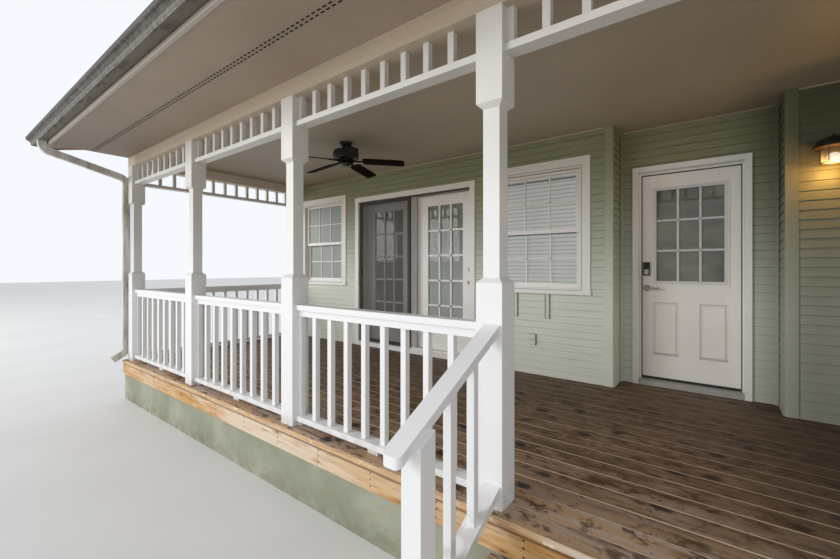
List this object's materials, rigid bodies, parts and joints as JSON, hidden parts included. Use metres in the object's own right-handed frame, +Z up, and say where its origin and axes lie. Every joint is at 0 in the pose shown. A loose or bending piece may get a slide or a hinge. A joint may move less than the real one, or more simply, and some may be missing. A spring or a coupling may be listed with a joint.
{
  "type": "front porch with house wall",
  "caption": "Roofed timber front porch: deck on a foundation, steps, boxed posts, railings, spindle friezes, gutter, and the house wall behind with opening doors.",
  "frame": {"origin": "centre of the bounding box at ground level", "axes": "+X along the front to the right as seen from the street, +Y into the house, +Z up"},
  "size_m": [9.503, 3.921, 4.125],
  "materials": {
    "masonry": "matte painted masonry",
    "framing_lumber": "sawn softwood, unpainted",
    "rim_lumber": "sawn softwood, clear and weathered",
    "deck_wood": "weathered brown stain",
    "white_paint": "satin white paint",
    "soffit_paint": "flat taupe paint",
    "shingles": "mineral grains",
    "siding_paint": "satin sage green paint",
    "gutter_metal": "stained off-white coating",
    "trim_paint": "satin white paint",
    "door_paint": "satin white paint",
    "pane_glass": "clear",
    "dark_lock": "satin",
    "brass_lock": "aged",
    "screen_frame": "satin dark brown",
    "fan_metal": "satin dark bronze",
    "blade_wood": "dark stained",
    "lamp_metal": "satin black",
    "lamp_glass": "clear, lit from inside"
  },
  "bodies": {
    "porch": {"foundation": "masonry", "floor_joists": "framing_lumber", "rafters": "framing_lumber", "roof_sheathing": "framing_lumber", "rim_boards": "rim_lumber", "stair_stringers": "rim_lumber", "deck_boards": "deck_wood", "stair_treads": "deck_wood", "post_1": "white_paint", "post_2": "white_paint", "post_3": "white_paint", "post_4": "white_paint", "post_5": "white_paint", "post_6": "white_paint", "wall_posts": "white_paint", "railing_bay_1": "white_paint", "railing_bay_2": "white_paint", "railing_bay_3": "white_paint", "railing_bay_5": "white_paint", "railing_left_end": "white_paint", "railing_right_end": "white_paint", "stair_rail_left": "white_paint", "stair_rail_right": "white_paint", "frieze_front": "white_paint", "frieze_left_end": "white_paint", "frieze_right_end": "white_paint", "porch_beams": "soffit_paint", "ceiling": "soffit_paint", "soffit": "soffit_paint", "fascia_boards": "soffit_paint", "roof_shingles": "shingles", "gable_ends": "siding_paint", "wall_left": "siding_paint", "wall_over_patio_door": "siding_paint", "wall_middle": "siding_paint", "wall_over_alcove": "siding_paint", "wall_right": "siding_paint", "alcove_left": "siding_paint", "alcove_right": "siding_paint", "wall_over_front_door": "siding_paint", "corner_boards": "siding_paint", "gutter": "gutter_metal", "downspouts": "gutter_metal", "window_left": "trim_paint", "window_right": "trim_paint", "front_door_frame": "trim_paint", "patio_door_frame": "trim_paint", "patio_fixed_leaf": "trim_paint", "window_glass": "pane_glass", "fan_housing": "fan_metal", "porch_light": "lamp_metal", "porch_light_jar": "lamp_glass"},
    "front_door_leaf": {"front_door": "door_paint", "front_door_glass": "pane_glass", "front_door_lock": "dark_lock"},
    "patio_door_leaf": {"patio_leaf": "trim_paint", "patio_leaf_glass": "pane_glass", "patio_lock": "brass_lock"},
    "screen": {"insect_screen": "screen_frame"},
    "fan_rotor": {"fan_blades": "blade_wood"}
  },
  "joints": [
    {"name": "front_door_hinge", "type": "hinge", "parent": "porch", "child": "front_door_leaf", "pos_m": [1.868, 1.9065, 1.595], "axis": [0, 0, -1], "range_deg": [0, 90]},
    {"name": "patio_door_hinge", "type": "hinge", "parent": "porch", "child": "patio_door_leaf", "pos_m": [-1.718, 1.6435, 1.595], "axis": [0, 0, 1], "range_deg": [0, 90]},
    {"name": "insect_screen_slide", "type": "slide", "parent": "porch", "child": "screen", "axis": [1, 0, 0], "range_m": [0, 0.96]},
    {"name": "fan_spin", "type": "hinge", "parent": "porch", "child": "fan_rotor", "pos_m": [-1.66, 0.2065, 2.87], "axis": [0, 0, 1], "continuous": true}
  ]
}
